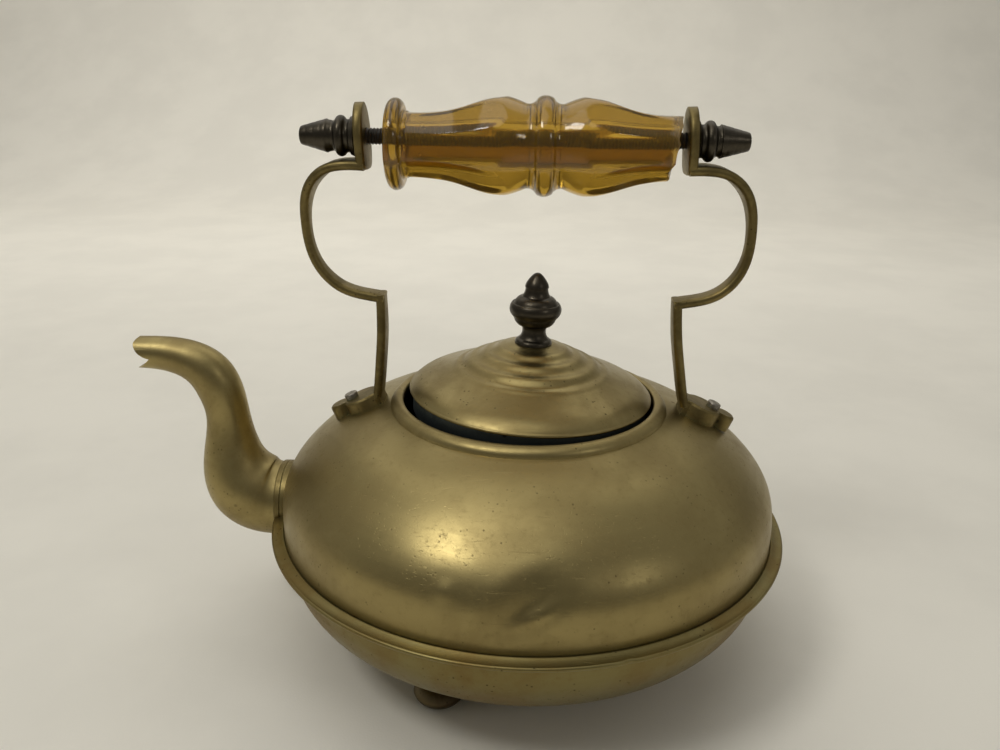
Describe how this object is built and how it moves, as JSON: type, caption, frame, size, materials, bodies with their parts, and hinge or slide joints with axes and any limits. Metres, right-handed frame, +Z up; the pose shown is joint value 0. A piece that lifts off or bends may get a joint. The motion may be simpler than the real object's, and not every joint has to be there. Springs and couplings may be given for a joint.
{
  "type": "brass kettle with glass grip",
  "caption": "Squat spun brass kettle with a swan-neck spout, a lift-off lid, small bun feet and an overhead handle with a moulded glass grip.",
  "frame": {"origin": "middle of the footprint's bounding box, on the surface that the feet stand on; the body's axis is 23.25 mm towards +X from it", "axes": "+Z up, +X away from the spout, along the handle, and +Y to the side"},
  "size_m": [0.2265, 0.18, 0.1904],
  "materials": {
    "brass_dome": "aged spun brass, olive gold, dull satin",
    "brass_pan": "aged spun brass, browner towards the base",
    "brass_collar": "aged spun brass, worn brighter on the bead",
    "brass_spout": "aged cast and drawn brass",
    "brass_spout_collar": "aged brass with tarnish in the joint",
    "brass_bracket": "aged forged brass",
    "brass_rivet": "dull rivet head",
    "steel_rod": "dark threaded steel",
    "amber_glass": "clear amber pressed glass",
    "bronze_finial": "dark bronzed brass, turned",
    "brass_lid": "aged spun brass, worn brighter on the rings",
    "dark_bezel": "blackened brass",
    "brass_foot": "browned turned brass"
  },
  "bodies": {
    "kettle": {"upper_shell": "brass_dome", "lower_pan": "brass_pan", "mouth_collar": "brass_collar", "spout": "brass_spout", "spout_collar": "brass_spout_collar", "bracket_left": "brass_bracket", "bracket_right": "brass_bracket", "handle_rivet_left": "brass_rivet", "handle_rivet_right": "brass_rivet", "grip_rod": "steel_rod", "finial_nut_left": "bronze_finial", "finial_nut_right": "bronze_finial", "foot_right": "brass_foot", "foot_back": "brass_foot", "foot_front": "brass_foot"},
    "lid": {"lid_cover": "brass_lid", "lid_bezel": "dark_bezel", "lid_finial": "bronze_finial", "lid_nut": "bronze_finial"},
    "grip": {"grip_glass": "amber_glass"}
  },
  "joints": [
    {"name": "lid_lift", "type": "slide", "parent": "kettle", "child": "lid", "axis": [0, 0, 1], "range_m": [0, 0.022]},
    {"name": "grip_spin", "type": "hinge", "parent": "kettle", "child": "grip", "pos_m": [0, 0, 0.1747], "axis": [1, 0, 0], "continuous": true}
  ]
}
